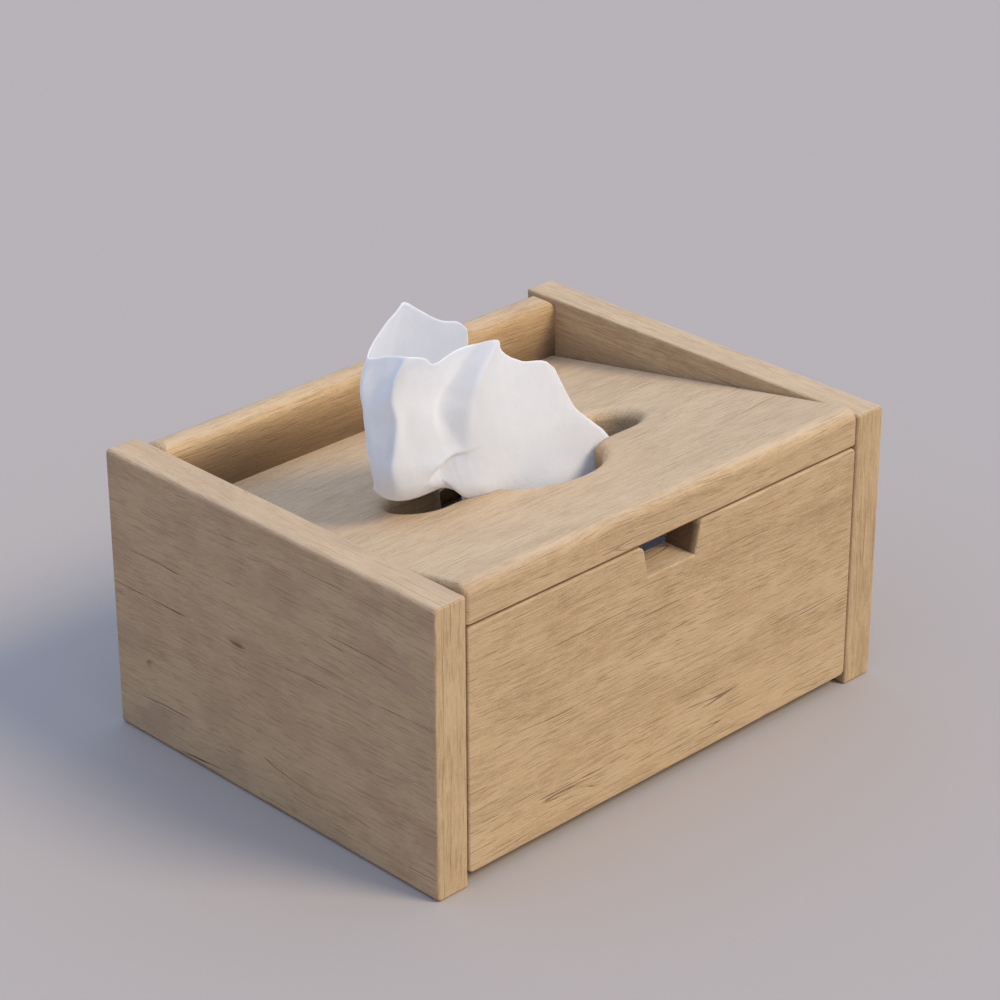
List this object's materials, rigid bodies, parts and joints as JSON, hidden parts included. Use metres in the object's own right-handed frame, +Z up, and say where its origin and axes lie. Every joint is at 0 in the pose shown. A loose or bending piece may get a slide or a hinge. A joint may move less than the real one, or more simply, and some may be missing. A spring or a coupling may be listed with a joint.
{
  "type": "napkin box",
  "caption": "Oak napkin box: a case with a sloping, slotted top board, a shallow tray behind it and a drawer with a finger notch, with one napkin drawn up through the slot.",
  "frame": {"origin": "on the table, under the middle of the case", "axes": "+X to the case's right as seen from the drawer, +Y to its back, +Z up"},
  "size_m": [0.22, 0.166, 0.1697],
  "materials": {
    "side_wood": "matte",
    "top_wood": "matte",
    "back_wood": "matte",
    "base_wood": "matte",
    "front_wood": "matte",
    "drawer_wood": "matte",
    "drawer_floor_wood": "matte",
    "dowel_wood": "matte",
    "napkin_cloth": "matte",
    "stack_cloth": "matte"
  },
  "bodies": {
    "case": {"left_side_panel": "side_wood", "right_side_panel": "side_wood", "top_panel": "top_wood", "back_panel": "back_wood", "base_board": "base_wood", "top_panel_dowels": "dowel_wood", "back_panel_dowels": "dowel_wood"},
    "drawer": {"drawer_front": "front_wood", "drawer_left_side": "drawer_wood", "drawer_right_side": "drawer_wood", "drawer_back": "drawer_wood", "drawer_bottom": "drawer_floor_wood", "drawer_front_dowels": "dowel_wood", "drawer_back_pins": "dowel_wood", "napkin_stack": "stack_cloth"},
    "napkin": {"raised_napkin": "napkin_cloth"}
  },
  "joints": [
    {"name": "drawer_slide", "type": "slide", "parent": "case", "child": "drawer", "axis": [0, -1, 0], "range_m": [0, 0.12]},
    {"name": "napkin_pull", "type": "slide", "parent": "case", "child": "napkin", "axis": [0, 0, 1], "range_m": [0, 0.08]}
  ]
}
